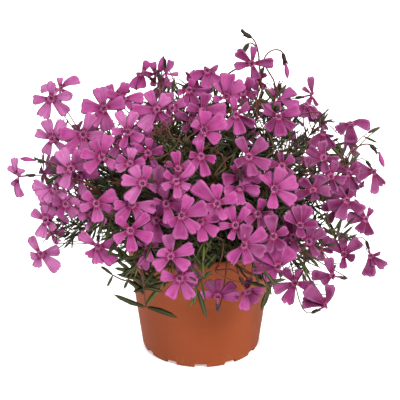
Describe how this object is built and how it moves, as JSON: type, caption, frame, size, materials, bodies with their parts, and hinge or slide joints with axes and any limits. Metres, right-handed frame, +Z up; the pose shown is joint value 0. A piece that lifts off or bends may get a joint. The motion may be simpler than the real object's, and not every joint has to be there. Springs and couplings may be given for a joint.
{
  "type": "potted phlox plant",
  "caption": "Moss phlox in full bloom: a loose mound of notched pink blooms and needle leaves in a round tapered moulded pot.",
  "frame": {"origin": "centre of the plan's outer box, on the floor under the pot", "axes": "+Z up the pot's axis; the side the plant shows best faces -Y; +X to that viewer's right"},
  "size_m": [0.2767, 0.2427, 0.2217],
  "materials": {
    "pot_plastic": "matt moulded terracotta-coloured plastic",
    "soil": "dark crumbly potting compost",
    "plant": "soft petals, needle leaves and thin stalks of a living plant"
  },
  "bodies": {
    "root": {"pot": "pot_plastic", "soil": "soil", "spray_00": "plant", "spray_01": "plant", "spray_02": "plant", "spray_03": "plant", "spray_04": "plant", "spray_05": "plant", "spray_06": "plant", "spray_07": "plant", "spray_08": "plant", "spray_09": "plant", "spray_10": "plant", "spray_11": "plant", "spray_12": "plant", "spray_13": "plant", "spray_14": "plant", "spray_15": "plant", "spray_16": "plant", "spray_17": "plant", "spray_18": "plant", "spray_19": "plant", "spray_20": "plant", "spray_21": "plant", "spray_22": "plant", "spray_23": "plant", "spray_24": "plant", "spray_25": "plant", "spray_26": "plant", "spray_27": "plant", "spray_28": "plant", "spray_29": "plant", "spray_30": "plant", "spray_31": "plant", "spray_32": "plant", "spray_33": "plant", "spray_34": "plant", "spray_35": "plant", "spray_36": "plant", "spray_37": "plant"}
  },
  "joints": []
}
